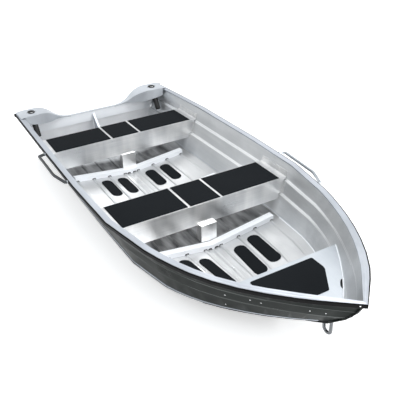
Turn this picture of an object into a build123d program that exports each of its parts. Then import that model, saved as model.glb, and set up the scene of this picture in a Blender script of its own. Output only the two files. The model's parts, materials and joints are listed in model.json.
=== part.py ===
from build123d import *

import os
from collections import namedtuple
from math import atan2, cos, degrees, hypot, pi, radians, sin, tan

os.makedirs("parts", exist_ok=True)

# Hull size: x runs forward, y to port, z up, with zero under the keel amidships
length_overall = 3680
hull_half_beam = 738
hull_depth = 459
side_sheet = 2.5
bottom_sheet = 3
seam_clearance = 0.1
fit_clearance = 0.2
side_swage_step = 12
bow_belly = 30
chine_flange = 9

# Transom, with a low middle for the motor and a swooping top edge
transom_aft = 6
transom_sheet = 4
cutout_half_width = 225
cutout_drop = 119
quarter_flat = 146
quarter_crown = 19
quarter_round = 62
cap_sheet = 3
cap_width = 30
quarter_plate_reach = 185
quarter_plate_flat = 106
quarter_flange = 46
motor_board_thickness = 14
motor_board_end_gap = 12
motor_board_depth = 95
motor_plate_thickness = 5
motor_plate_half_width = 210
motor_plate_height = 190
motor_plate_corner = 12
centre_knee_sheet = 4
centre_knee_flange = 22
centre_knee_reach = 330
centre_knee_drop = 20

# Rod holders let into the quarter plates, set in from the transom's face and corner
rod_holder_ahead = 92
rod_holder_inset = 103
rod_holder_bore = 42
rod_holder_wall = 4
rod_holder_length = 230
rod_holder_lean = 34
rod_holder_rim = 8
rod_holder_rim_thickness = 5

# Gunwale extrusion and its rubber strip
gunwale_inside = 22
gunwale_outside = 19
gunwale_top = 5
gunwale_skirt = 26
gunwale_wall = 3.5
gunwale_lip = 9
groove_width = 4
groove_depth = 1.2
rub_depth = 24
rub_width = 9
rub_chamfer = 3
rub_drop = 1

# Thwarts, pads, posts and floor ribs; an aft edge is measured from the transom,
# the thwart's drop from the sheer amidships
rear_thwart_aft = 516
rear_thwart_width = 306
rear_post_ahead = 10
rear_rib_ahead = 44
middle_thwart_aft = 1838
middle_thwart_width = 323
middle_post_ahead = 29
middle_rib_ahead = 85
thwart_drop = 105
thwart_sheet = 3
thwart_end_clearance = 0.3
thwart_upstand = 38
apron_depth = 165
apron_return = 22
apron_end_flange = 24
apron_notch = 6
pad_thickness = 3
pad_gap = 20
pad_divider_y = 130
pad_edge = 8
pad_end_margin = 62
post_width = 124
post_depth = 60
post_sheet = 3
rib_height = 40
rib_width = 52
rib_sheet = 2.5
rib_end_gap = 60
bay_rib_place = 1460
notch_half_width = 18
notch_crown = 11
notch_height = 13

# Lengthwise ridges pressed up in the floor, and the rounded non-slip pads between them
ridge_half_width = 12
ridge_crown = 5
ridge_height = 8
keel_ridge_height = 4
floor_pad_width = 92
floor_pad_thickness = 2.5
floor_pad_flats = 6
floor_pad_inner = 131
floor_pad_outer = 275
aft_pad_length = 305
aft_pad_ahead = 57
forward_pad_length = 365
forward_pad_ahead = 83
forward_pad_outer_ahead = 47
forward_pad_outer = 267
forward_pad_turn = -4

# Bow deck and its pad, measured back from the stem head and down from the sheer amidships
deck_drop = 141
deck_sheet = 3
deck_lip = 26
deck_reach = 682
deck_nose_gap = 220
deck_side_clearance = 1.1
deck_pad_thickness = 3
deck_pad_margin = 33
deck_pad_straight = 118
deck_pad_length = 288
deck_pad_half_width = 225
deck_pad_nose = 112
deck_pad_corner = 12
deck_pad_shoulder = 60
deck_drain_back = 366
deck_drain_length = 92
deck_drain_width = 14

# Keel strip, runners under the bottom and the bar round the stem
keel_strip_width = 44
runner_y = 195
runner_width = 24
stem_bar_width = 18
stem_bar_depth = 6
stem_bar_gap = 8

# Bow eye and carrying handles; a handle's foot is measured from the transom
eye_rod = 6.5
eye_half_gap = 27
eye_drop = 44
eye_leg = 90
handle_rod = 8.5
handle_length = 530
handle_reach = 52
handle_aft_splay = 12
handle_fore_splay = 150
handle_bend = 16
handle_stub = 16
handle_drop = 9
aft_handle_foot = 1000
forward_handle_foot = 1965
rod_flats = 8

mid_length = length_overall / 2
thwart_height = hull_depth - thwart_drop
deck_height = hull_depth - deck_drop

# Hull lines: places along the length, half-breadths and heights as shares of the hull's three sizes.
# heading is the way a section's thickness points, in degrees from straight ahead,
# swage is the share of the pressed steps that is left, belly the share of the bow's outward curve,
# skew widens the sheet at the stem, and rail is the share of the rim's width there.
Station = namedtuple(
    "Station",
    "sheer_along sheer_out sheer_up chine_along chine_out chine_up"
    " keel_along keel_up heading swage belly skew rail",
)
STATIONS = [
    Station(0.0028, 0.957, 0.956, 0.0028, 0.756, 0.150, 0.0028, 0.013, 90, 1.0, 0, 1, 1),
    Station(0.2272, 0.990, 1.000, 0.2272, 0.775, 0.148, 0.2272, 0.013, 90, 1.0, 0, 1, 1),
    Station(0.4446, 1.000, 0.994, 0.4446, 0.786, 0.146, 0.4446, 0.013, 90, 1.0, 0, 1, 1),
    Station(0.5940, 0.982, 0.985, 0.5940, 0.785, 0.172, 0.5940, 0.013, 90, 1.0, 0, 1, 1),
    Station(0.7027, 0.883, 0.990, 0.6946, 0.715, 0.231, 0.6946, 0.013, 82, 1.0, 0, 1, 1),
    Station(0.7924, 0.732, 1.003, 0.7734, 0.580, 0.309, 0.7679, 0.015, 72, 0.25, 0, 1, 1),
    Station(0.8630, 0.549, 1.046, 0.8359, 0.400, 0.383, 0.8223, 0.035, 60, 0.05, 0.1, 1, 1),
    Station(0.9310, 0.305, 1.113, 0.8875, 0.203, 0.452, 0.8658, 0.190, 45, 0.05, 0.5, 1, 1),
    Station(0.9946, 0.000, 1.155, 0.9313, 0.000, 0.515, 0.9011, 0.360, 0, 0.05, 1.0, 1.4, 0.7),
]

# How many lengths each span between two stations is divided into, so that the sheets bend evenly
LENGTHS_BETWEEN = [1, 1, 1, 1, 3, 2, 2, 3]


def fair(table):
    """Table with the sections between its stations filled in along smooth curves."""
    rows = [table[0]]
    last = len(table) - 1
    for i, parts in enumerate(LENGTHS_BETWEEN):
        before, start, end, after = table[max(i - 1, 0)], table[i], table[i + 1], table[min(i + 2, last)]
        span = end.sheer_along - start.sheer_along
        for part in range(1, parts + 1):
            t = part / parts
            values = []
            for a, b, c, d in zip(before, start, end, after):
                rise_in = (c - a) / (end.sheer_along - before.sheer_along) * span
                rise_out = (d - b) / (after.sheer_along - start.sheer_along) * span
                curve = (2 * t**3 - 3 * t**2 + 1) * b + (t**3 - 2 * t**2 + t) * rise_in
                values.append(curve + (3 * t**2 - 2 * t**3) * c + (t**3 - t**2) * rise_out)
            rows.append(Station(*values))
    return rows


SECTIONS = fair(STATIONS)

# Side section: share of the height from chine to sheer, and share of the swage step
SIDE_PROFILE = [(0, 0), (0.39, -0.5), (0.415, 0.5), (0.67, -0.5), (0.695, 0.5), (1, 0)]

# Where the keel stops being straight for the runners, and where the forefoot starts, as shares of the length
RUNNER_SHARE = 0.6
FOREFOOT_SHARE = 0.77

# Thwarts: name, distance of the aft edge from the transom, width, and how far post and rib stand ahead
Thwart = namedtuple("Thwart", "name aft width post_ahead rib_ahead")
THWARTS = [
    Thwart("rear", rear_thwart_aft, rear_thwart_width, rear_post_ahead, rear_rib_ahead),
    Thwart("middle", middle_thwart_aft, middle_thwart_width, middle_post_ahead, middle_rib_ahead),
]

# Floor ridges: distance from the centreline at the transom, and height
Ridge = namedtuple("Ridge", "out height")
FLOOR_RIDGES = [
    Ridge(26, keel_ridge_height),
    Ridge(62, ridge_height),
    Ridge(205, ridge_height),
    Ridge(343, ridge_height),
    Ridge(485, ridge_height),
]

# Floor ribs: name, distance of the forward face from the transom
FloorRib = namedtuple("FloorRib", "name face")
FLOOR_RIBS = [FloorRib(seat.name, seat.aft + seat.width + seat.rib_ahead) for seat in THWARTS]
FLOOR_RIBS.append(FloorRib("bay", bay_rib_place))

# Floor pads: bay, gap ahead of the rib, distance off the centreline, length, turn in degrees
FloorPad = namedtuple("FloorPad", "bay ahead out length turn")
FLOOR_PADS = [
    FloorPad("aft", aft_pad_ahead, floor_pad_inner, aft_pad_length, 0),
    FloorPad("aft", aft_pad_ahead, floor_pad_outer, aft_pad_length, 0),
    FloorPad("forward", forward_pad_ahead, floor_pad_inner, forward_pad_length, forward_pad_turn),
    FloorPad("forward", forward_pad_outer_ahead, forward_pad_outer, forward_pad_length, forward_pad_turn),
]

# Carrying handles: name, side (1 port, -1 starboard), distance of the aft foot from the transom
Handle = namedtuple("Handle", "name side foot")
HANDLES = [
    Handle("starboard_aft", -1, aft_handle_foot),
    Handle("port_forward", 1, forward_handle_foot),
]


def fore(x):
    """Distance from the transom to the model's x, which is zero amidships."""
    return x - mid_length


def keep(piece, name):
    """Label a finished piece and write it."""
    piece.label = name
    export_step(piece, f"parts/{name}.step")


def keep_pair(port, name):
    """Write a port piece and its mirror image to starboard."""
    with BuildPart() as starboard:
        mirror(port.part, about=Plane.XZ)
    keep(port.part, f"{name}_port")
    keep(starboard.part, f"{name}_starboard")
    return starboard


def sheer(st):
    """Top edge of the side sheet at a station."""
    return Vector(
        fore(st.sheer_along * length_overall),
        max(st.sheer_out * hull_half_beam, seam_clearance),
        st.sheer_up * hull_depth,
    )


def chine(st):
    """Outer corner between bottom and side at a station."""
    return Vector(
        fore(st.chine_along * length_overall),
        max(st.chine_out * hull_half_beam, seam_clearance),
        st.chine_up * hull_depth,
    )


def keel(st):
    """Underside of the bottom sheet at the centreline seam."""
    return Vector(fore(st.keel_along * length_overall), seam_clearance, st.keel_up * hull_depth)


def side_plane(st):
    """Plane of a side section: x outward and level, y up along the side, origin at the chine."""
    outward = Vector(cos(radians(st.heading)), sin(radians(st.heading)), 0)
    across = outward.cross(sheer(st) - chine(st)).normalized()
    return Plane(origin=chine(st), x_dir=outward, z_dir=across)


def sheer_plane(st):
    """Plane of a gunwale section, with its origin at the sheer."""
    plane = side_plane(st)
    return Plane(origin=sheer(st), x_dir=plane.x_dir, z_dir=plane.z_dir)


def bottom_plane(st):
    """Upright plane of a bottom section, from the keel out to the chine."""
    reach = chine(st) - keel(st)
    outward = Vector(reach.X, reach.Y, 0).normalized()
    return Plane(origin=keel(st), x_dir=outward, z_dir=outward.cross(Vector(0, 0, 1)))


def bottom_run(st):
    """Level reach and rise of a bottom section from keel to chine."""
    reach = chine(st) - keel(st)
    return hypot(reach.X, reach.Y), reach.Z


def between(x, value, place="chine_along"):
    """Value of a station function at a distance from the transom, by straight lines."""
    along = [getattr(st, place) * length_overall for st in SECTIONS]
    for i in range(len(SECTIONS) - 1):
        if x <= along[i + 1] or i == len(SECTIONS) - 2:
            share = (x - along[i]) / (along[i + 1] - along[i])
            return value(SECTIONS[i]) * (1 - share) + value(SECTIONS[i + 1]) * share


def side_offsets(st):
    """Side section at a station: share of the height, and distance off the straight line to the sheer."""
    offsets = []
    for share, step in SIDE_PROFILE:
        belly = 4 * share * (1 - share) * bow_belly * st.belly
        offsets.append((share, step * side_swage_step * st.swage + belly))
    return offsets


def inner_face(st, height):
    """Point of the side sheet's inner face at a section and a height."""
    plane = side_plane(st)
    top = plane.to_local_coords(sheer(st))
    up = (height - chine(st).Z) / plane.y_dir.Z
    share = up / top.Y
    step = 0
    profile = side_offsets(st)
    for (low, low_step), (high, high_step) in zip(profile, profile[1:]):
        if low <= share <= high:
            step = low_step + (high_step - low_step) * (share - low) / (high - low)
    across = top.X * share + step - side_sheet * st.skew
    return plane.from_local_coords(Vector(across, up, 0))


def side_line(height):
    """Places along the length and half-breadths of the side's inner face at a height."""
    points = [inner_face(st, height) for st in SECTIONS if chine(st).Z < height]
    return [(point.X + mid_length, point.Y) for point in points]


def side_out(x, height):
    """Half-breadth of the side sheet's inner face at a distance from the transom and a height."""
    line = side_line(height)
    for (start, start_out), (end, end_out) in zip(line, line[1:]):
        if x <= end or end == line[-1][0]:
            return start_out + (end_out - start_out) * (x - start) / (end - start)


def swage_heights(x):
    """Lower and upper edge of each pressed step in the side."""
    low = between(x, lambda st: chine(st).Z)
    high = between(x, lambda st: sheer(st).Z)
    edges = [low + share * (high - low) for share, step in SIDE_PROFILE[1:-1]]
    return list(zip(edges[::2], edges[1::2]))


def floor_slope(x):
    """Rise of the floor for each unit out from the centreline."""
    return between(x, lambda st: bottom_run(st)[1] / bottom_run(st)[0])


def floor_up(x, y):
    """Height of the floor's upper face."""
    return between(x, lambda st: keel(st).Z) + bottom_sheet + abs(y) * floor_slope(x)


def side_panel():
    """Pressed side sheet with two lengthwise swages, from the transom to the stem."""
    with BuildPart() as panel:
        for st in SECTIONS:
            plane = side_plane(st)
            top = plane.to_local_coords(sheer(st))
            run, rise = bottom_run(st)
            lean = top.X / top.Y
            foot = (bottom_sheet + 2 * fit_clearance) / (1 - lean * rise / run) / top.Y
            outer = []
            for share, step in side_offsets(st):
                u = max(share, foot)
                outer.append((top.X * u + step, top.Y * u))
            inner = [(x - side_sheet * st.skew, y) for x, y in reversed(outer)]
            with BuildSketch(plane):
                with BuildLine():
                    Polyline(*outer, *inner, close=True)
                make_face()
        loft(ruled=True)
    return panel


reference_run = bottom_run(STATIONS[0])[0]


def ridge_out(x, ridge):
    """Distance of a floor ridge from the centreline at a distance from the transom."""
    return between(x, lambda st: bottom_run(st)[0]) * ridge.out / reference_run


def floor_line(st, level, ridges):
    """Points of a bottom section from the keel to its edge, a height above the sheet's underside."""
    run, rise = bottom_run(st)
    spread = run / reference_run
    out = run + (chine_flange if st.chine_out > 0 else 0)
    points = [(0, level)]
    for ridge in ridges:
        lift = ridge.height * st.swage
        rising = [(-ridge_half_width, 0), (-ridge_crown, lift)]
        falling = [(ridge_crown, lift), (ridge_half_width, 0)]
        for across, up in rising + falling:
            place = (ridge.out + across) * spread
            points.append((place, level + place * rise / run + up))
    points.append((out, level + out * rise / run))
    return points


def bottom_layer(low, high, ridges):
    """Half of the bottom between two heights above its underside, with ridges pressed up in it."""
    with BuildPart() as layer:
        for st in SECTIONS:
            with BuildSketch(bottom_plane(st)):
                with BuildLine():
                    under = floor_line(st, low, ridges)
                    over = floor_line(st, high, ridges)
                    Polyline(*under, *reversed(over), close=True)
                make_face()
        loft(ruled=True)
    return layer


# Hull sheets
side_port = side_panel()
side_starboard = keep_pair(side_port, "side")

bottom_port = bottom_layer(0, bottom_sheet, FLOOR_RIDGES)
bottom_starboard = keep_pair(bottom_port, "bottom")


# The transom's middle drops for the motor, and its crowned quarters fall to the gunwale's top
corner_y = sheer(STATIONS[0]).Y
quarter_height = sheer(STATIONS[0]).Z
quarter_half_width = corner_y - quarter_flat
crown_height = quarter_height + quarter_crown
cutout_height = quarter_height - cutout_drop
plate_out = corner_y + gunwale_outside - gunwale_wall
plate_edge_height = between(quarter_plate_reach, lambda st: sheer(st).Z, "sheer_along") + gunwale_top
ear_low = quarter_height + gunwale_top - gunwale_skirt


def transom_edge(rise):
    """Half of the transom's top edge, from the centreline out over the gunwale."""
    middle = ((cutout_half_width + quarter_half_width) / 2, (cutout_height + crown_height) / 2 + rise)
    shoulder = (corner_y - quarter_round, crown_height + rise)
    Line((0, cutout_height + rise), (cutout_half_width, cutout_height + rise))
    first = TangentArc((cutout_half_width, cutout_height + rise), middle, tangent=(1, 0))
    TangentArc(middle, (quarter_half_width, crown_height + rise), tangent=first % 1)
    Line((quarter_half_width, crown_height + rise), shoulder)
    TangentArc(shoulder, (plate_out, plate_edge_height + rise), tangent=(1, 0))


with BuildPart() as transom:
    aft_station = STATIONS[0]
    side_lean = (corner_y - chine(aft_station).Y) / (quarter_height - chine(aft_station).Z)
    with BuildSketch(Plane.YZ.offset(fore(transom_aft))):
        with BuildLine():
            transom_edge(0)
            Polyline(
                (plate_out, plate_edge_height),
                (plate_out, ear_low),
                (corner_y - (quarter_height - ear_low) * side_lean, ear_low),
                (chine(aft_station).Y, chine(aft_station).Z),
                (0, keel(aft_station).Z),
                (0, cutout_height),
            )
        make_face()
        mirror(about=Plane.YZ)
    extrude(amount=transom_sheet)
keep(transom.part, "transom")

# Swooping cap over the transom, widening into the two quarter plates
rod_holder_y = corner_y - rod_holder_inset
rod_axis = Vector(-sin(radians(rod_holder_lean)), 0, cos(radians(rod_holder_lean)))
plate_top = crown_height + fit_clearance + cap_sheet
rod_planes = [
    Plane(origin=(fore(rod_holder_ahead), side * rod_holder_y, plate_top), z_dir=rod_axis) for side in (1, -1)
]
rod_outer = rod_holder_bore / 2 + rod_holder_wall
fold_out = corner_y - gunwale_inside - fit_clearance


def quarter_edge(back, out):
    """Port quarter plate's curved forward edge, from the narrow cap out to a half-breadth."""
    start = (fore(cap_width - back), cutout_half_width)
    end = (fore(quarter_plate_reach - back), corner_y - quarter_plate_flat)
    middle = ((start[0] + end[0]) / 2, (start[1] + end[1]) / 2)
    bend = TangentArc(start, middle, tangent=(0, 1))
    TangentArc(middle, end, tangent=bend % 1)
    Line(end, (end[0], out))


# Fold along the plate's forward edge, deepest at the gunwale
with BuildPart() as quarter_fold:
    fold_top = fit_clearance + cap_sheet / 2
    with BuildSketch(Plane.YZ.offset(fore(0))):
        with BuildLine():
            transom_edge(fold_top)
            Polyline(
                (plate_out, plate_edge_height + fold_top),
                (plate_out, quarter_height - quarter_flange),
                (cutout_half_width, cutout_height - 2 * cap_sheet),
                (0, cutout_height - 2 * cap_sheet),
                (0, cutout_height + fold_top),
            )
        make_face()
    extrude(amount=quarter_plate_reach)
    with BuildSketch(Plane.XY):
        with BuildLine():
            quarter_edge(0, fold_out)
            quarter_edge(cap_sheet, fold_out)
            Line((fore(cap_width), cutout_half_width), (fore(cap_width - cap_sheet), cutout_half_width))
            Line((fore(quarter_plate_reach), fold_out), (fore(quarter_plate_reach - cap_sheet), fold_out))
        make_face()
    extrude(amount=plate_top, mode=Mode.INTERSECT)

with BuildPart() as transom_cap:
    with BuildSketch(Plane.YZ.offset(fore(0))):
        with BuildLine():
            edge_low = plate_edge_height + fit_clearance
            transom_edge(fit_clearance)
            transom_edge(fit_clearance + cap_sheet)
            Line((plate_out, edge_low), (plate_out, edge_low + cap_sheet))
            Line((0, cutout_height + fit_clearance), (0, cutout_height + fit_clearance + cap_sheet))
        make_face()
        mirror(about=Plane.YZ)
    extrude(amount=quarter_plate_reach)
    with BuildSketch(Plane.XY):
        with BuildLine():
            quarter_edge(0, plate_out)
            Polyline((fore(quarter_plate_reach), plate_out), (fore(0), plate_out), (fore(0), 0))
            Polyline((fore(0), 0), (fore(cap_width), 0), (fore(cap_width), cutout_half_width))
        make_face()
        mirror(about=Plane.XZ)
    extrude(amount=plate_top, mode=Mode.INTERSECT)
    add(quarter_fold.part)
    mirror(quarter_fold.part, about=Plane.XZ)
    for plane in rod_planes:
        with BuildSketch(plane):
            Circle(rod_outer + fit_clearance)
        extrude(amount=rod_holder_length, both=True, mode=Mode.SUBTRACT)
keep(transom_cap.part, "transom_cap")

# Rod holders: a leaning tube under a level rim
with BuildPart() as rod_holder_port:
    with BuildSketch(rod_planes[0]):
        Circle(rod_outer)
    extrude(amount=-rod_holder_length)
    extrude(amount=rod_outer * tan(radians(rod_holder_lean)) + rod_holder_rim_thickness, mode=Mode.ADD,
            to_extrude=rod_holder_port.faces().sort_by(Axis.Z)[-1])
    with BuildSketch(Plane.XY.offset(plate_top + rod_holder_rim_thickness)):
        Rectangle(length_overall, length_overall)
    extrude(amount=hull_depth, mode=Mode.SUBTRACT)
    with BuildSketch(Plane.XY.offset(plate_top)):
        with Locations((fore(rod_holder_ahead), rod_holder_y)):
            Ellipse(rod_outer / cos(radians(rod_holder_lean)) + rod_holder_rim, rod_outer + rod_holder_rim)
    extrude(amount=rod_holder_rim_thickness)
    with BuildSketch(rod_planes[0]):
        Circle(rod_holder_bore / 2)
    extrude(amount=2 * rod_holder_length, both=True, mode=Mode.SUBTRACT)
keep_pair(rod_holder_port, "rod_holder")

# Motor board inside the transom, clamp plate outside
board_aft = transom_aft + transom_sheet + fit_clearance
with BuildPart() as motor_board:
    with BuildSketch(Plane.YZ.offset(fore(board_aft))):
        board_low = cutout_height - motor_board_depth
        board_ends = [(side_out(board_aft, z) - motor_board_end_gap, z) for z in (board_low, cutout_height)]
        with BuildLine():
            Polyline(*board_ends, *[(-y, z) for y, z in reversed(board_ends)], close=True)
        make_face()
    extrude(amount=motor_board_thickness)
keep(motor_board.part, "motor_board")

with BuildPart() as motor_plate:
    with BuildSketch(Plane.YZ.offset(fore(transom_aft - fit_clearance))):
        with Locations((0, cutout_height - motor_plate_height / 2 - fit_clearance)):
            RectangleRounded(2 * motor_plate_half_width, motor_plate_height, motor_plate_corner)
    extrude(amount=-motor_plate_thickness)
keep(motor_plate.part, "motor_plate")

# Folded knee on the centreline, from the motor board down to the floor
knee_back = board_aft + motor_board_thickness + fit_clearance
centre_knee_top = cutout_height - centre_knee_drop
knee_foot = floor_up(knee_back, 0) + centre_knee_sheet
with BuildPart() as transom_knee:
    with BuildSketch(Plane.XZ):
        with BuildLine():
            Polyline(
                (fore(knee_back), knee_foot),
                (fore(knee_back), centre_knee_top),
                (fore(knee_back + centre_knee_reach), knee_foot),
                close=True,
            )
        make_face()
    extrude(amount=centre_knee_sheet / 2, both=True)
    with BuildSketch(Plane.XZ):
        with BuildLine():
            Polyline(
                (fore(knee_back), centre_knee_top),
                (fore(knee_back + centre_knee_reach), knee_foot),
                (fore(knee_back + centre_knee_reach - centre_knee_sheet), knee_foot),
                (fore(knee_back), centre_knee_top - centre_knee_sheet),
                close=True,
            )
        make_face()
    extrude(amount=centre_knee_flange / 2, both=True)
keep(transom_knee.part, "transom_knee")


def sheer_loft(section):
    """Extrusion that follows the sheer; section gives its outline, narrowed at the stem."""
    with BuildPart() as extrusion:
        for st in SECTIONS:
            with BuildSketch(sheer_plane(st)):
                with BuildLine():
                    Polyline(*[(x * st.rail, y) for x, y in section], close=True)
                make_face()
        loft(ruled=True)
    return extrusion


# Gunwale: a flat top with two grooves that rests on the side sheet, a lip inside and a skirt outside
gunwale_section = [
    (gunwale_outside, gunwale_top),
    (gunwale_outside, gunwale_top - gunwale_skirt),
    (gunwale_outside - gunwale_wall, gunwale_top - gunwale_skirt),
    (gunwale_outside - gunwale_wall, fit_clearance),
    (gunwale_wall - gunwale_inside, fit_clearance),
    (gunwale_wall - gunwale_inside, gunwale_top - gunwale_lip),
    (-gunwale_inside, gunwale_top - gunwale_lip),
    (-gunwale_inside, gunwale_top),
]
for groove in (-gunwale_inside / 2, gunwale_outside / 2):
    for across, depth in ((-1, 0), (-0.5, groove_depth), (0.5, groove_depth), (1, 0)):
        gunwale_section.append((groove + across * groove_width, gunwale_top - depth))
gunwale_port = sheer_loft(gunwale_section)
keep_pair(gunwale_port, "gunwale")

rub_inside = gunwale_outside + fit_clearance
rub_section = [
    (rub_inside, gunwale_top - rub_drop - rub_depth),
    (rub_inside, gunwale_top - rub_drop),
    (rub_inside + rub_width - rub_chamfer, gunwale_top - rub_drop),
    (rub_inside + rub_width, gunwale_top - rub_drop - rub_chamfer),
    (rub_inside + rub_width, gunwale_top - rub_drop - rub_depth + rub_chamfer),
    (rub_inside + rub_width - rub_chamfer, gunwale_top - rub_drop - rub_depth),
]
rub_port = sheer_loft(rub_section)
keep_pair(rub_port, "rub_strip")

# Sections along the keel strip, and along the shorter runners
KEEL_RUN = [st for st in SECTIONS if st.keel_along < FOREFOOT_SHARE]
RUNNER_RUN = [st for st in SECTIONS if st.keel_along < RUNNER_SHARE]

# Keel strip under the seam, and a bar that carries on round the stem
with BuildPart() as keel_strip:
    for st in KEEL_RUN:
        slope = bottom_run(st)[1] / bottom_run(st)[0]
        half = keel_strip_width / 2
        with BuildSketch(Plane.YZ.offset(keel(st).X)):
            with BuildLine():
                Polyline(
                    (-half, 0),
                    (half, 0),
                    (half, keel(st).Z + half * slope - seam_clearance),
                    (0, keel(st).Z - seam_clearance),
                    (-half, keel(st).Z + half * slope - seam_clearance),
                    close=True,
                )
            make_face()
    loft(ruled=True)
keep(keel_strip.part, "keel_strip")

# Runners: their feet are level with the keel strip's
with BuildPart() as runner_port:
    for st in RUNNER_RUN:
        slope = bottom_run(st)[1] / bottom_run(st)[0]
        inboard = runner_y - runner_width / 2
        outboard = runner_y + runner_width / 2
        with BuildSketch(Plane.YZ.offset(keel(st).X)):
            with BuildLine():
                Polyline(
                    (inboard, 0),
                    (outboard, 0),
                    (outboard, keel(st).Z + outboard * slope - seam_clearance),
                    (inboard, keel(st).Z + inboard * slope - seam_clearance),
                    close=True,
                )
            make_face()
    loft(ruled=True)
keep_pair(runner_port, "runner")


def rib_seat(face):
    """Aft face of a floor rib, height of its foot on the centreline, and slope of the floor under it."""
    aft = face - rib_width
    return aft, floor_up(aft, 0) + fit_clearance + seam_clearance, max(floor_slope(aft), floor_slope(face))


# Floor ribs: folded channels across the floor, notched over its ridges
for floor_rib in FLOOR_RIBS:
    rib_aft, foot, slope = rib_seat(floor_rib.face)
    rib_half = between(rib_aft, lambda st: chine(st).Y) - rib_end_gap
    with BuildPart() as rib:
        for inset, sheet_mode in ((0, Mode.ADD), (rib_sheet, Mode.SUBTRACT)):
            with BuildSketch(Plane.YZ.offset(fore(rib_aft + inset))):
                half = rib_half - inset
                lift = rib_height - inset
                sink = 0 if inset == 0 else rib_height
                with BuildLine():
                    Polyline(
                        (0, foot - sink),
                        (half, foot + half * slope - sink),
                        (half, foot + half * slope + lift),
                        (0, foot + lift),
                        close=True,
                    )
                make_face()
                mirror(about=Plane.YZ)
            extrude(amount=rib_width - 2 * inset, mode=sheet_mode)
        with BuildSketch(Plane.YZ.offset(fore(rib_aft))):
            for ridge in FLOOR_RIDGES:
                out = ridge_out(rib_aft, ridge)
                base = foot + out * slope
                with BuildLine():
                    Polyline(
                        (out - notch_half_width, base - notch_height),
                        (out + notch_half_width, base - notch_height),
                        (out + notch_half_width, base),
                        (out + notch_crown, base + notch_height),
                        (out - notch_crown, base + notch_height),
                        (out - notch_half_width, base),
                        close=True,
                    )
                make_face()
            mirror(about=Plane.YZ)
        extrude(amount=rib_width, mode=Mode.SUBTRACT)
    keep(rib.part, f"{floor_rib.name}_rib")


def thwart_end(x, height):
    """Half-length of a thwart at a place, just clear of the side sheet."""
    return side_out(x, height) - thwart_end_clearance


def end_flange(aft, front, low, high):
    """Plate along the port side between two places and two heights."""
    with BuildPart() as flange:
        for x in (aft, front):
            outer = [(thwart_end(x, low), low), (thwart_end(x, high), high)]
            inner = [(y - thwart_sheet, z) for y, z in reversed(outer)]
            with BuildSketch(Plane.YZ.offset(fore(x))):
                with BuildLine():
                    Polyline(*outer, *inner, close=True)
                make_face()
        loft(ruled=True)
    return flange.part


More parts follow.
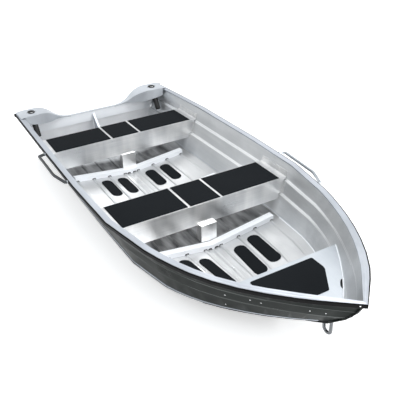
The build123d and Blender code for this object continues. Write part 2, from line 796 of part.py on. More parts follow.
for thwart in THWARTS:
    front = thwart.aft + thwart.width
    top = thwart_height
    under = top - thwart_sheet
    half_aft = thwart_end(thwart.aft, under)
    half_front = thwart_end(front, under)
    apron_low = top - apron_depth

    # The apron's ends follow the side, with a notch over each pressed step
    apron_end = [(thwart_end(front, apron_low), apron_low)]
    for step_low, step_high in swage_heights(front):
        notch_low = step_low - apron_notch
        notch_high = step_high + apron_notch
        if apron_low < notch_low and notch_high < under:
            notch_in = thwart_end(front, step_low) - side_swage_step
            apron_end.append((thwart_end(front, notch_low), notch_low))
            apron_end.append((notch_in, (step_low + step_high) / 2))
            apron_end.append((thwart_end(front, notch_high), notch_high))
    apron_end.append((half_front, under))
    flange_low = max(swage_heights(front)[0][1] + apron_notch, apron_low)
    flange_high = min(swage_heights(front)[1][0] - apron_notch, under)
    upstand = end_flange(thwart.aft, front, under, top + thwart_upstand)
    apron_flange = end_flange(front - thwart_sheet, front + apron_end_flange, flange_low, flange_high)

    with BuildPart() as seat:
        with BuildSketch(Plane.XY.offset(under)):
            with BuildLine():
                Polyline(
                    (fore(thwart.aft), -half_aft),
                    (fore(front), -half_front),
                    (fore(front), half_front),
                    (fore(thwart.aft), half_aft),
                    close=True,
                )
            make_face()
        extrude(amount=thwart_sheet)
        with BuildSketch(Plane.YZ.offset(fore(front - thwart_sheet))):
            with BuildLine():
                Polyline(*apron_end, *[(-y, z) for y, z in reversed(apron_end)], close=True)
            make_face()
        extrude(amount=thwart_sheet)
        low_half = thwart_end(thwart.aft, apron_low) - side_swage_step
        with BuildSketch(Plane.XY.offset(apron_low)):
            with Locations((fore(front - apron_return / 2), 0)):
                Rectangle(apron_return, 2 * low_half)
        extrude(amount=thwart_sheet)
        with BuildSketch(Plane.YZ.offset(fore(thwart.aft))):
            with Locations((0, top - apron_return / 2)):
                Rectangle(2 * low_half, apron_return)
        extrude(amount=thwart_sheet)
        for flange in (upstand, apron_flange):
            add(flange)
            mirror(flange, about=Plane.XZ)
    keep(seat.part, f"{thwart.name}_thwart")

    with BuildPart() as pads:
        pad_aft = thwart.aft + pad_edge
        pad_front = front - pad_edge
        inner = pad_divider_y - pad_gap / 2
        outer = pad_divider_y + pad_gap / 2
        with BuildSketch(Plane.XY.offset(top + seam_clearance)):
            with Locations((fore((pad_aft + pad_front) / 2), 0)):
                Rectangle(pad_front - pad_aft, 2 * inner)
            for side in (1, -1):
                with BuildLine():
                    Polyline(
                        (fore(pad_aft), side * outer),
                        (fore(pad_front), side * outer),
                        (fore(pad_front), side * (half_front - pad_end_margin)),
                        (fore(pad_aft), side * (half_aft - pad_end_margin)),
                        close=True,
                    )
                make_face()
        extrude(amount=pad_thickness)
    keep(pads.part, f"{thwart.name}_thwart_pads")

    rib_aft, foot, slope = rib_seat(front + thwart.rib_ahead)
    post_face = front + thwart.post_ahead
    post_low = foot + rib_height + fit_clearance
    post_high = apron_low - fit_clearance
    with BuildPart() as post:
        with BuildSketch(Plane.XY.offset(post_low)):
            with Locations((fore(post_face - post_depth / 2), 0)):
                Rectangle(post_depth, post_width)
            with Locations((fore(post_face - post_sheet - post_depth / 2), 0)):
                Rectangle(post_depth, post_width - 2 * post_sheet, mode=Mode.SUBTRACT)
        extrude(amount=post_high - post_low)
        with BuildSketch(Plane.XY.offset(post_high - post_sheet)):
            with Locations((fore(post_face - post_depth / 2), 0)):
                Rectangle(post_depth, post_width)
        extrude(amount=post_sheet)
        with BuildSketch(Plane.YZ.offset(fore(post_face - post_depth))):
            with BuildLine():
                Polyline(
                    (0, post_low),
                    (post_width, post_low + post_width * slope),
                    (post_width, 0),
                    (0, 0),
                    close=True,
                )
            make_face()
            mirror(about=Plane.YZ)
        extrude(amount=post_depth, mode=Mode.SUBTRACT)
    keep(post.part, f"{thwart.name}_post")

# Non-slip floor pads lie on the bottom sheet, ahead of each rib
pad_low = bottom_sheet + fit_clearance
pad_layer = bottom_layer(pad_low, pad_low + floor_pad_thickness, [])


def pad_outline(length):
    """Corners of a floor pad about its middle, each end rounded in short flats."""
    straight = (length - floor_pad_width) / 2
    radius = floor_pad_width / 2
    turns = [pi * (0.5 - flat / floor_pad_flats) for flat in range(floor_pad_flats + 1)]
    fore_end = [(straight + radius * cos(turn), radius * sin(turn)) for turn in turns]
    return fore_end + [(-x, -y) for x, y in fore_end]


for thwart, bay in zip(THWARTS, ("aft", "forward")):
    rib_face = thwart.aft + thwart.width + thwart.rib_ahead
    with BuildPart() as floor_pads_port:
        with BuildSketch(Plane.XY):
            for pad in FLOOR_PADS:
                if pad.bay == bay:
                    middle = rib_face + pad.ahead + pad.length / 2
                    with Locations(Location((fore(middle), pad.out), pad.turn)):
                        Polygon(*pad_outline(pad.length))
        extrude(amount=hull_depth)
        add(pad_layer.part, mode=Mode.INTERSECT)
    keep_pair(floor_pads_port, f"floor_pads_{bay}")

# Bow deck, whose sides follow the hull, its lip and its pad
stem_head = sheer(STATIONS[-1]).X + mid_length
deck_aft = stem_head - deck_reach
deck_front = stem_head - deck_nose_gap
deck_under = deck_height - deck_sheet
with BuildPart() as bow_deck:
    ends = [(x, side_out(x, deck_under)) for x in (deck_aft, deck_front)]
    inside = [point for point in side_line(deck_under) if deck_aft < point[0] < deck_front]
    port_edge = [(fore(x), y - deck_side_clearance) for x, y in (ends[0], *inside, ends[1])]
    with BuildSketch(Plane.XY.offset(deck_under)):
        with BuildLine():
            Polyline(*port_edge, *[(x, -y) for x, y in reversed(port_edge)], close=True)
        make_face()
        drain = stem_head - deck_drain_back
        drain_ends = [side_out(drain + end * deck_drain_length / 2, deck_under) for end in (-1, 1)]
        drain_turn = degrees(atan2(drain_ends[1] - drain_ends[0], deck_drain_length))
        for side in (1, -1):
            with Locations(Location((fore(drain), side * side_out(drain, deck_under)), side * drain_turn)):
                Ellipse(deck_drain_length / 2, deck_drain_width, mode=Mode.SUBTRACT)
    extrude(amount=deck_sheet)
    with BuildSketch(Plane.YZ.offset(fore(deck_aft))):
        lip_half = side_out(deck_aft, deck_height - deck_lip) - deck_side_clearance
        with Locations((0, deck_height - deck_lip / 2)):
            Rectangle(2 * lip_half, deck_lip)
    extrude(amount=deck_sheet)
keep(bow_deck.part, "bow_deck")

with BuildPart() as bow_deck_pad:
    with BuildSketch(Plane.XY.offset(deck_height + seam_clearance)) as pad_outline:
        with BuildLine():
            pad_aft = fore(deck_aft + deck_pad_margin)
            port_edge = [
                (pad_aft, deck_pad_half_width),
                (pad_aft + deck_pad_straight, deck_pad_half_width),
                (pad_aft + deck_pad_length, deck_pad_nose),
            ]
            Polyline(*port_edge, *[(x, -y) for x, y in reversed(port_edge)], close=True)
        make_face()
        fillet(pad_outline.vertices().group_by(Axis.X)[1], deck_pad_shoulder)
        fillet(pad_outline.vertices().group_by(Axis.X)[0], deck_pad_corner)
        fillet(pad_outline.vertices().group_by(Axis.X)[-1], deck_pad_corner)
    extrude(amount=deck_pad_thickness)
keep(bow_deck_pad.part, "bow_deck_pad")

# Bar round the forefoot and stem
def pushed_out(points, distance):
    """Points moved square to their line, to the forward and lower side."""
    moved = []
    for i, (x, z) in enumerate(points):
        before = points[max(i - 1, 0)]
        after = points[min(i + 1, len(points) - 1)]
        ahead = after[0] - before[0]
        up = after[1] - before[1]
        share = distance / hypot(ahead, up)
        moved.append((x + up * share, z - ahead * share))
    return moved


keel_end = keel(KEEL_RUN[-1])
stem_line = [(keel_end.X + stem_bar_gap, keel_end.Z)]
stem_line += [(keel(st).X, keel(st).Z) for st in SECTIONS if st.keel_along >= FOREFOOT_SHARE]
stem_section = side_plane(STATIONS[-1])
stem_rake = stem_section.to_local_coords(sheer(STATIONS[-1]))
stem_points = [
    stem_section.from_local_coords(Vector(stem_rake.X * share + step, stem_rake.Y * share, 0))
    for share, step in side_offsets(STATIONS[-1])
]
stem_points[-1] += (stem_points[-2] - stem_points[-1]).normalized() * stem_bar_gap
stem_line += [(point.X, point.Z) for point in stem_points]
with BuildPart() as stem_bar:
    with BuildSketch(Plane.XZ):
        with BuildLine():
            near = pushed_out(stem_line, 2 * fit_clearance)
            far = pushed_out(stem_line, 2 * fit_clearance + stem_bar_depth)
            Polyline(*near, *reversed(far), close=True)
        make_face()
    extrude(amount=stem_bar_width / 2, both=True)
keep(stem_bar.part, "stem_bar")

# Bow eye: a bent rod that hangs from the stem bar, its legs cut to the bar's face
eye_middle = (chine(STATIONS[-1]).X, chine(STATIONS[-1]).Z - eye_drop)
eye_seat = pushed_out(stem_line, 3 * fit_clearance + stem_bar_depth)
eye_turns = [pi * turn / rod_flats for turn in range(rod_flats + 1)]
eye_bend = [
    (eye_middle[0] - eye_half_gap * cos(turn), 0, eye_middle[1] - eye_half_gap * sin(turn))
    for turn in eye_turns
]
with BuildPart() as bow_eye:
    with BuildLine() as eye_line:
        Polyline(
            (eye_bend[0][0], 0, eye_middle[1] + eye_leg),
            *eye_bend,
            (eye_bend[-1][0], 0, eye_middle[1] + eye_leg),
        )
    with BuildSketch(Plane(origin=eye_line.line @ 0, z_dir=eye_line.line % 0)):
        RegularPolygon(eye_rod, rod_flats)
    sweep(transition=Transition.RIGHT)
    with BuildSketch(Plane.XZ):
        with BuildLine():
            Polyline(
                *eye_seat,
                (eye_seat[-1][0], eye_seat[-1][1] + eye_leg),
                (eye_seat[0][0], eye_seat[-1][1] + eye_leg),
                close=True,
            )
        make_face()
    extrude(amount=2 * eye_rod, both=True, mode=Mode.SUBTRACT)
keep(bow_eye.part, "bow_eye")

# Carrying handles on the outside of the rubber strip
def rub_face(x):
    """Half-breadth just clear of the rubber strip at a distance from the transom."""
    outside = rub_inside + rub_width + 2 * fit_clearance
    spread = (x - handle_rod, x + handle_rod)
    return max(between(place, lambda st: sheer(st).Y + outside, "sheer_along") for place in spread)


def eased(points, cut):
    """Points of a bent rod, with each corner cut off at a distance from it."""
    line = [points[0]]
    for before, corner, after in zip(points, points[1:], points[2:]):
        line.append(corner + (before - corner).normalized() * cut)
        line.append(corner + (after - corner).normalized() * cut)
    return line + [points[-1]]


for handle in HANDLES:
    fore_foot = handle.foot + handle_length
    aft_bend = handle.foot + handle_aft_splay
    fore_bend = fore_foot - handle_fore_splay
    level = between(handle.foot, lambda st: sheer(st).Z, "sheer_along") - handle_drop
    corners = [
        Vector(fore(x), handle.side * y, level)
        for x, y in (
            (handle.foot, rub_face(handle.foot)),
            (handle.foot, rub_face(handle.foot) + handle_stub),
            (aft_bend, rub_face(aft_bend) + handle_reach),
            (fore_bend, rub_face(fore_bend) + handle_reach),
            (fore_foot, rub_face(fore_foot) + handle_stub),
            (fore_foot, rub_face(fore_foot)),
        )
    ]
    with BuildPart() as grip:
        with BuildLine() as bar:
            Polyline(*eased(corners, handle_bend / 2))
        with BuildSketch(Plane(origin=bar.line @ 0, z_dir=bar.line % 0)):
            RegularPolygon(handle_rod, rod_flats)
        sweep(transition=Transition.RIGHT)
    keep(grip.part, f"handle_{handle.name}")
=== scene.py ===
# %% [markdown]
# # An open aluminium boat, finished in Blender
# The boat's pieces come from a imported model as a fixed frame, in metres, with x towards the bow, y to port
# and z up. This lesson gives them their finishes, rounds their sheet edges and adds the rivets, welds and
# bolts that hold such a boat together. First comes the frame, with a way to read the box of any piece.

# %% Load the frame
import bmesh
import bpy
import json
from math import cos, degrees, radians, sin
from mathutils import Matrix, Vector
from mathutils.bvhtree import BVHTree

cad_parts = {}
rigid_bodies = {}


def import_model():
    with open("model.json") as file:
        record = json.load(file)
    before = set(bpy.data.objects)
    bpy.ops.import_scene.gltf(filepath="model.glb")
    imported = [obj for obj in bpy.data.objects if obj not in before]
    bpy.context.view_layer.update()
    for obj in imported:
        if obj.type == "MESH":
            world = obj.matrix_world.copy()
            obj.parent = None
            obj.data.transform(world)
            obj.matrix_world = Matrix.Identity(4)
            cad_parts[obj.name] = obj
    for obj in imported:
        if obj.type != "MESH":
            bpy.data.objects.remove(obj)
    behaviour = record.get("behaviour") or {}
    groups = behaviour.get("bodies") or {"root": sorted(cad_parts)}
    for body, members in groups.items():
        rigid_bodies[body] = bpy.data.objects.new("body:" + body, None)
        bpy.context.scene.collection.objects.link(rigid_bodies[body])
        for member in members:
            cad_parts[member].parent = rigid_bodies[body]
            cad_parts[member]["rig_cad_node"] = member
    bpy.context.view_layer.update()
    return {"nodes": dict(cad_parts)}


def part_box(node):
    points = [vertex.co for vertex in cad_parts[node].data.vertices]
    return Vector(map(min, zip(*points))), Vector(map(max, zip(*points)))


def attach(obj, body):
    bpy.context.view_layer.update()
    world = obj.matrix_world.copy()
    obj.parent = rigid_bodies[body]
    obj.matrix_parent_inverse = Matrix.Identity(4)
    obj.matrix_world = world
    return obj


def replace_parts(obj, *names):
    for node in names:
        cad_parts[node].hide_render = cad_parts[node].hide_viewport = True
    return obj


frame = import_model()
nodes = frame["nodes"]

# %% [markdown]
# ## Camera
# The photograph looks down on the boat from off its starboard bow. A camera is a place, a heading, a tilt
# and a lens. Building its three axes by hand, instead of aiming it at an empty, also gives the small roll
# that a hand-held camera has.

# %% Place the camera
CAMERA_PLACE = Vector((3.3407, -1.7604, 2.4101))
CAMERA_HEADING = radians(151.0023)
CAMERA_TILT = radians(30.1439)
CAMERA_ROLL = radians(-1.8441)
PHOTO_SIDE = 400
FOCAL_PIXELS = 588.854
LENS_CENTRE = (195.28, 199.07)

level_ahead = Vector((cos(CAMERA_HEADING), sin(CAMERA_HEADING), 0))
level_right = Vector((sin(CAMERA_HEADING), -cos(CAMERA_HEADING), 0))
ahead = level_ahead * cos(CAMERA_TILT) - Vector((0, 0, sin(CAMERA_TILT)))
level_up = level_right.cross(ahead)
right = level_right * cos(CAMERA_ROLL) + level_up * sin(CAMERA_ROLL)
up = level_up * cos(CAMERA_ROLL) - level_right * sin(CAMERA_ROLL)
turn = Matrix((right, up, -ahead)).transposed().to_4x4()

bpy.ops.object.select_all(action="DESELECT")
bpy.ops.object.camera_add()
camera = bpy.context.object
camera.name = "photo_camera"
camera.matrix_world = Matrix.Translation(CAMERA_PLACE) @ turn
camera.data.lens = camera.data.sensor_width * FOCAL_PIXELS / PHOTO_SIDE
camera.data.shift_x = 0.5 - LENS_CENTRE[0] / PHOTO_SIDE
camera.data.shift_y = LENS_CENTRE[1] / PHOTO_SIDE - 0.5
bpy.context.scene.camera = camera
print("lens in mm:", round(camera.data.lens, 1))

# %% Lay the floor
FLOOR_SIDE = 60

bpy.ops.object.select_all(action="DESELECT")
bpy.ops.mesh.primitive_plane_add(size=FLOOR_SIDE, location=(0, 0, 0))
floor = bpy.context.object
floor.name = "floor"
print("floor side in metres:", FLOOR_SIDE)

# %% [markdown]
# ## Shader maths in plain Python
# A finish is a tree of nodes. Wrapping a socket in a small class lets an expression such as `1 - mask` add
# its Math node by itself, and one method adds any other kind of node.

# %% Wrap a shader socket


class Value:
    """An output socket that Python's operators work on."""

    def __init__(self, tree, socket):
        self.tree = tree
        self.socket = socket

    def node(self, kind, settings=None, sockets=None, out=0):
        """Add a node: its settings first, then the values or links of its sockets."""
        made = self.tree.nodes.new(kind)
        for name, setting in (settings or {}).items():
            if name == "stops":
                for stop in range(len(setting) - len(made.color_ramp.elements)):
                    made.color_ramp.elements.new(0.5)
                for element, (place, shade) in zip(made.color_ramp.elements, setting):
                    element.position = place
                    element.color = (shade, shade, shade, 1)
            else:
                setattr(made, name, setting)
        for name, value in (sockets or {}).items():
            if isinstance(value, Value):
                self.tree.links.new(value.socket, made.inputs[name])
            else:
                made.inputs[name].default_value = value
        return Value(self.tree, made.outputs[out])

    def math(self, operation, first, second):
        return self.node("ShaderNodeMath", {"operation": operation}, {0: first, 1: second})

    def __add__(self, other):
        return self.math("ADD", self, other)

    __radd__ = __add__

    def __sub__(self, other):
        return self.math("SUBTRACT", self, other)

    def __rsub__(self, other):
        return self.math("SUBTRACT", other, self)

    def __mul__(self, other):
        return self.math("MULTIPLY", self, other)

    __rmul__ = __mul__

    def __gt__(self, other):
        return self.math("GREATER_THAN", self, other)

    def clipped(self, width):
        """0 below zero, then rising to 1 over a width."""
        settings = {"operation": "MULTIPLY", "use_clamp": True}
        return self.node("ShaderNodeMath", settings, {0: self, 1: 1 / width})

    def stretched(self, x, y, z):
        """Coordinates scaled by a different amount each way."""
        return self.node("ShaderNodeVectorMath", {"operation": "MULTIPLY"}, {0: self, 1: (x, y, z)})

    def part(self, letter):
        """One coordinate of a vector."""
        return self.node("ShaderNodeSeparateXYZ", {}, {0: self}, "XYZ".index(letter))

    def noise(self, scale, detail=3, roughness=0.5):
        """Cloudy pattern, from 0 to 1."""
        sockets = {"Vector": self, "Scale": scale, "Detail": detail, "Roughness": roughness}
        return self.node("ShaderNodeTexNoise", {}, sockets)

    def ramp(self, *stops):
        """Grey ramp through (place, shade) stops."""
        return self.node("ShaderNodeValToRGB", {"stops": stops}, {"Fac": self})

    def between(self, low, high):
        """Colour between two colours, by this value."""
        ends = [end if isinstance(end, Value) else (*end, 1) for end in (low, high)]
        sockets = {0: self, 6: ends[0], 7: ends[1]}
        return self.node("ShaderNodeMix", {"data_type": "RGBA"}, sockets, 2)

    def bump(self, distance, strength=1.0):
        """Normal bent by this value as a height."""
        sockets = {"Height": self, "Distance": distance, "Strength": strength}
        return self.node("ShaderNodeBump", {}, sockets)


print("a wrapped socket understands + - * and >")

# %% [markdown]
# ## A material to start from
# Every finish here is one Principled shader that reads the piece's own coordinates and the way its faces
# point. A second small class keeps those together and sets sockets by name: a number or a colour that is
# the same all over is set on the socket, and anything that changes over the surface is linked to it. The
# floor gets the first finish, with just enough cloudiness that it doesn't look like paper.

# %% Start a finish


class Finish:
    """A material with one Principled shader, its coordinates and its constant sockets."""

    def __init__(self, name, **constants):
        self.material = bpy.data.materials.new(name)
        self.material.use_nodes = True
        self.tree = self.material.node_tree
        self.shader = self.tree.nodes["Principled BSDF"]
        coordinates = self.tree.nodes.new("ShaderNodeTexCoord")
        self.place = Value(self.tree, coordinates.outputs["Object"])
        self.facing = Value(self.tree, coordinates.outputs["Normal"])
        self.set(**constants)

    def set(self, **sockets):
        """Set or link sockets of the shader; an underscore in a name stands for a space."""
        for name, value in sockets.items():
            socket = self.shader.inputs[name.replace("_", " ")]
            if isinstance(value, Value):
                self.tree.links.new(value.socket, socket)
            elif name.endswith("Color"):
                socket.default_value = (*value, 1)
            else:
                socket.default_value = value


FLOOR_SHADES = ((0.93, 0.935, 0.94), (0.96, 0.962, 0.965))
FLOOR_CLOUDS = 0.6

floor_finish = Finish("pale_floor", Roughness=0.8, Emission_Color=(1.0, 1.0, 1.0), Emission_Strength=0.5)
floor_finish.set(Base_Color=floor_finish.place.noise(FLOOR_CLOUDS).between(*FLOOR_SHADES))
floor.data.materials.append(floor_finish.material)
print("the floor has the finish", floor_finish.material.name)

# %% [markdown]
# ## Light
# Bare metal shows what is around it, so the light matters as much as the metal. A studio dome that is bright
# overhead and greyer near the ground keeps level faces white, lets upright ones fall back, and so draws
# every fold in the sheet. Three soft panels add a few highlights. Seen directly, beyond the floor's edge,
# the dome is a plain pale backdrop.

# %% Light the studio
DOME_STRENGTH = 1.3
DOME_SHADES = [(0.0, 0.42), (0.3, 0.56), (0.7, 1.0), (1.0, 1.0)]
DOME_TINTS = ((0.0, 0.0, 0.0), (0.965, 0.985, 1.0))
BACKDROP = (0.77, 0.775, 0.78)
PANELS = [
    # name, place, what it points at, side in metres, power in watts
    ("overhead_panel", (0.4, 1.2, 4.0), (0, 0, 0.3), 2.5, 45),
    ("stern_panel", (-4.5, 3.5, 3.0), (0, 0, 0.4), 2.0, 4),
    ("bow_panel", (7.0, 3.5, 3.2), (-0.8, 0, 0.3), 3.0, 260),
]

for name, place, target, side, power in PANELS:
    bpy.ops.object.light_add(type="AREA", location=place)
    panel = bpy.context.object
    panel.name = name
    panel.data.size = side
    panel.data.energy = power
    panel.rotation_euler = (Vector(target) - Vector(place)).to_track_quat("-Z", "Y").to_euler()

world = bpy.data.worlds.new("pale_studio")
bpy.context.scene.world = world
world.use_nodes = True
dome = world.node_tree
direction = Value(dome, dome.nodes.new("ShaderNodeTexCoord").outputs["Generated"])
dome_light = direction.part("Z").ramp(*DOME_SHADES).between(*DOME_TINTS)
dome_light = direction.node("ShaderNodeLightPath").between(dome_light, BACKDROP)
dome.links.new(dome_light.socket, dome.nodes["Background"].inputs["Color"])
dome.nodes["Background"].inputs["Strength"].default_value = DOME_STRENGTH
bpy.context.scene.view_settings.view_transform = "Standard"

# %% [markdown]
# ## Painted shade under cover
# Under the seats, the bow deck and the floor ribs, where less light reaches, the metal's colour is darkened
# as painted shade. A mask finds these places by the boxes of what covers them. It could be painted by hand
# on each piece, but boxes follow the frame. Under the seats the painted shade is uneven and weaker towards
# the sides.

# %% Mask what is covered
# Colour of the painted shade under seats, deck and ribs, and inside the ribs' channels.
PAINTED_SHADE = (0.03, 0.031, 0.033)
RIBS = ("rear_rib", "bay_rib", "middle_rib")
RIB_OF_SEAT = {"rear_thwart": "rear_rib", "middle_thwart": "middle_rib"}
SEAT_DROP = 0.06
SEAT_FADE = 0.07
SHADE_PATCH_SCALES = (3, 12, 3)
SHADE_PATCH_STOPS = ((0.36, 0.6), (0.62, 0.95))
CENTRE_REACH = 0.3
CENTRE_FADE = 0.12
SIDE_DEPTH = 0.45
DECK_REACH = 0.3
DECK_SHEET = 0.002
RIB_LIP = 0.001
RIB_REACH = 0.93
RIB_END_FADE = 0.01
SHORT_FADE = 0.004


def shade_under_covers(place, ribs):
    """Painted shade: 1 where a seat, the bow deck or one of the ribs covers the hull, fading out at their
    edges.
    """
    seat_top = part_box("rear_thwart_pads")[0].z - SEAT_DROP
    deck_low, deck_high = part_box("bow_deck")
    across = place.part("Y")
    # Uneven patches in the painted shade under the seats.
    shade_patches = place.stretched(*SHADE_PATCH_SCALES).noise(1.0).ramp(*SHADE_PATCH_STOPS)
    aside = (CENTRE_REACH - across * across).clipped(CENTRE_FADE) * (1 - SIDE_DEPTH) + SIDE_DEPTH
    covers = []
    for seat, rib in RIB_OF_SEAT.items():
        covers.append((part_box(seat)[0].x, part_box(rib)[0].x, seat_top, SEAT_FADE, shade_patches * aside))
    covers.append((deck_low.x, deck_high.x + DECK_REACH, deck_high.z - DECK_SHEET, SHORT_FADE, 1.0))
    for rib in ribs:
        low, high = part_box(rib)
        under_rib = (high.y * high.y * RIB_REACH - across * across).clipped(RIB_END_FADE)
        covers.append((low.x, high.x - RIB_LIP, high.z, SHORT_FADE, under_rib))
    shade = 0
    for aft, fore, top, fade, depth in covers:
        along = (place.part("X") - aft).clipped(fade) * (fore - place.part("X")).clipped(fade)
        shade = shade + along * (top - place.part("Z")).clipped(fade) * depth
    return shade


print("covered: the bow deck's space,", list(RIB_OF_SEAT), "and", RIBS)

# %% [markdown]
# ## Bare aluminium
# Sheet straight from the mill is bright, with a faint grain along the way it was rolled, and it is never
# quite flat. A slow wave in the bump makes the soft grey patches that such sheet shows, stretched noise
# gives the grain, and a second, slower noise gives the streaks that folding leaves. One function makes them
# all, so that every sheet is plainly the same metal.

# %% Mix the aluminium
GRAIN_SCALES = {"X": (2, 140, 140), "Y": (140, 2, 140)}
STREAK_SCALES = {"X": (1.2, 9, 9), "Y": (9, 9, 1.2)}
CLOUD_SCALE = 3.2
CLOUD_SHARE, STREAK_SHARE, GRAIN_SHARE = 0.45, 0.4, 0.15
MIDDLE_SHADE = 0.49
CLOUD_GLOSS, GRAIN_GLOSS = 0.16, 0.08
WAVE_SCALE = 2.6
GRAIN_HEIGHT = 0.06
SHEET_BUMP = (0.004, 0.6)


def aluminium(name, low, high, gloss, grain_along="X", wave=5, metal=1.0, streak=0.17, shade_mask=None):
    """Bare metal with its grain along one axis; a mask, where given, is 1 where painted shade makes it dark.
    """
    finish = Finish(name, Metallic=metal)
    grain = finish.place.stretched(*GRAIN_SCALES[grain_along]).noise(1.0, 4)
    streaks = finish.place.stretched(*STREAK_SCALES[grain_along]).noise(1.0)
    clouds = finish.place.noise(CLOUD_SCALE)
    shade = clouds * CLOUD_SHARE + streaks * STREAK_SHARE + grain * GRAIN_SHARE
    shade = shade.ramp((MIDDLE_SHADE - streak, 0), (MIDDLE_SHADE + streak, 1)).between(low, high)
    if shade_mask:
        # Painted shade: where the mask is 1, the colour goes to the dark shade colour.
        shade = shade_mask(finish).between(shade, PAINTED_SHADE)
    height = finish.place.noise(WAVE_SCALE, 1) * wave + grain * GRAIN_HEIGHT
    finish.set(
        Base_Color=shade,
        Roughness=gloss + clouds * CLOUD_GLOSS + grain * GRAIN_GLOSS,
        Normal=height.bump(*SHEET_BUMP),
    )
    return finish


bare_sheet = aluminium("bare_aluminium", (0.5, 0.535, 0.575), (0.62, 0.655, 0.69), 0.28, wave=2)
cross_sheet = aluminium(
    "bare_aluminium_across", (0.66, 0.67, 0.68), (0.99, 0.985, 0.975), 0.19, "Y", wave=3, streak=0.1,
)
cap_sheet = aluminium(
    "cap_aluminium", (0.55, 0.58, 0.62), (0.67, 0.7, 0.74), 0.3, "Y", wave=2, metal=0.6,
)
plate_sheet = aluminium("plate_aluminium", (0.34, 0.35, 0.37), (0.46, 0.47, 0.49), 0.32, "Y")
handle_rod = aluminium("handle_aluminium", (0.38, 0.41, 0.44), (0.58, 0.61, 0.65), 0.2)
# Painted shade: the starboard handle is dark all over, as if in shadow.
shaded_rod = aluminium(
    "shaded_handle_aluminium", (0.03, 0.033, 0.035), (0.09, 0.095, 0.1), 0.3, metal=0.6,
)
bright_rail = aluminium("gunwale_aluminium", (0.5, 0.53, 0.58), (0.66, 0.69, 0.74), 0.26, wave=1)
bare_finishes = (bare_sheet, cross_sheet, cap_sheet, plate_sheet, handle_rod, shaded_rod, bright_rail)
print("bare finishes:", [finish.material.name for finish in bare_finishes])

# %% [markdown]
# ## Pale boards and ribs
# The motor board and the floor ribs have a paler, flatter skin than the seats. A rib is a channel, open
# towards the bow at its notches, and its inside, which shows through a notch, gets painted shade: those
# faces point forward but lie behind the rib's front.

# %% Mix the pale finishes
PALE = ((0.88, 0.91, 0.95), (0.95, 0.97, 1.0))
PALE_GLOSS = 0.4
PALE_METAL = 0.15
RIB_SHEET = 0.002
FACING_LIMIT = 0.5


def pale_sheet(name, shade_mask=None):
    """Pale, nearly matt sheet with its grain across the boat."""
    return aluminium(name, *PALE, PALE_GLOSS, "Y", wave=1, metal=PALE_METAL, shade_mask=shade_mask)


def rib_channel_shade(rib):
    """Mask of the faces inside a rib's channel, which get painted shade."""
    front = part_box(rib)[1].x

    def mask(finish):
        points_forward = finish.facing.part("X") > FACING_LIMIT
        return points_forward * (front - RIB_SHEET - finish.place.part("X") > 0)

    return mask


board_sheet = pale_sheet("motor_board_aluminium")
rib_finishes = {rib: pale_sheet(rib + "_aluminium", rib_channel_shade(rib)) for rib in RIBS}
print("pale finishes:", board_sheet.material.name, sorted(rib_finishes))

# %% [markdown]
# ## Paint and two-sided hull sheet
# The hull is painted dark outside and left bare inside. One finish does both: it looks at which way a face
# points, because the outer face of a side points away from the centreline and the outer face of the bottom
# points down. The pressed ledges along the sides have a brighter finish of their own, a painted highlight
# where their bends catch the light.

# %% Mix the painted and the two-sided finishes
PAINT = ((0.007, 0.009, 0.0083), (0.017, 0.0205, 0.019))
# Painted highlight: lighter paint on the pressed ledges' bevels outside.
LEDGE_HIGHLIGHT_PAINT = ((0.045, 0.05, 0.048), (0.11, 0.12, 0.116))
PAINT_SPECULAR = 0.03
PAINT_GLOSS, GRIME_GLOSS = 0.2, 0.22
GRIME_SCALE = 5
PAINT_WAVE_SCALE = 2.2
PAINT_WAVE = 3
PAINT_BUMP = (0.004, 0.5)
HULL_GLOSS = 0.3
HULL_WAVE = 1.5


def brush_on(tree, shader, place, shades):
    """Satin graphite paint with faint clouds and scuffs, on a Principled shader."""
    grime = place.noise(GRIME_SCALE, 5)
    height = place.noise(PAINT_WAVE_SCALE, 2) * PAINT_WAVE
    tree.links.new(grime.between(*shades).socket, shader.inputs["Base Color"])
    tree.links.new((grime * GRIME_GLOSS + PAINT_GLOSS).socket, shader.inputs["Roughness"])
    tree.links.new(height.bump(*PAINT_BUMP).socket, shader.inputs["Normal"])
    shader.inputs["Specular IOR Level"].default_value = PAINT_SPECULAR


def hull_sheet(name, low, high, outside, shades=PAINT, metal=1.0, ribs=()):
    """Paint where outside(finish) is 1, bare metal elsewhere, painted shade where seats, deck or ribs cover
    it.
    """

    def mask(finish):
        return shade_under_covers(finish.place, ribs)

    finish = aluminium(name, low, high, HULL_GLOSS, wave=HULL_WAVE, metal=metal, shade_mask=mask)
    tree = finish.tree
    paint = tree.nodes.new("ShaderNodeBsdfPrincipled")
    brush_on(tree, paint, finish.place, shades)
    mixer = tree.nodes.new("ShaderNodeMixShader")
    tree.links.new(outside(finish).socket, mixer.inputs["Fac"])
    tree.links.new(finish.shader.outputs["BSDF"], mixer.inputs[1])
    tree.links.new(paint.outputs["BSDF"], mixer.inputs[2])
    tree.links.new(mixer.outputs["Shader"], tree.nodes["Material Output"].inputs["Surface"])
    return finish


def points_outboard(finish):
    return finish.facing.part("Y") * finish.place.part("Y") > 0


def points_down(finish):
    return 0 - finish.facing.part("Z") > 0


def points_aft(finish):
    return 0 - finish.facing.part("X") > 0


side_finish = hull_sheet("hull_side", (0.6, 0.615, 0.625), (0.84, 0.85, 0.86), points_outboard)
